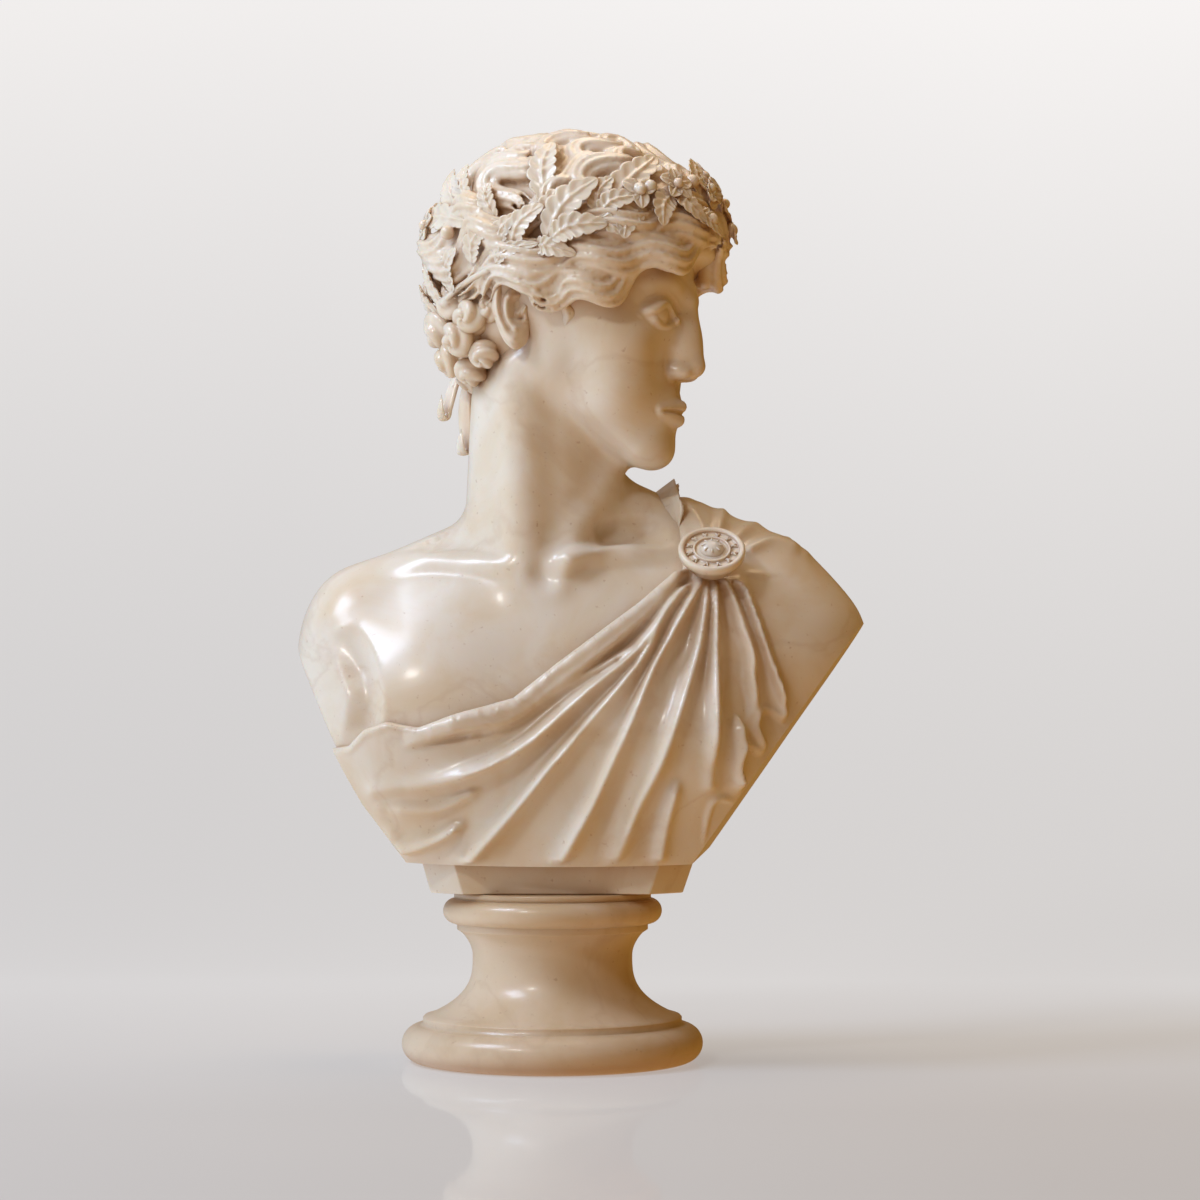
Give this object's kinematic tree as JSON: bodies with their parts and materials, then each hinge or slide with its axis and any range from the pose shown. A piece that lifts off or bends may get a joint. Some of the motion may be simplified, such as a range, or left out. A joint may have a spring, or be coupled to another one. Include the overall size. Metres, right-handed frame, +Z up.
{
  "type": "classical marble bust",
  "caption": "Marble bust of a wreathed youth, head turned aside, draped cloth pinned at the shoulder, on a turned round socle.",
  "frame": {"origin": "centre of the socle's flat underside, where it stands", "axes": "+Z up, -Y the way the chest faces, +X to the right of someone who looks at the chest"},
  "size_m": [0.4341, 0.2281, 0.7102],
  "materials": {
    "carved_marble": "polished cream marble with ochre in the hollows",
    "turned_marble": "polished cream marble with faint ochre veins"
  },
  "bodies": {
    "root": {"bust": "carved_marble", "socle": "turned_marble"}
  },
  "joints": []
}
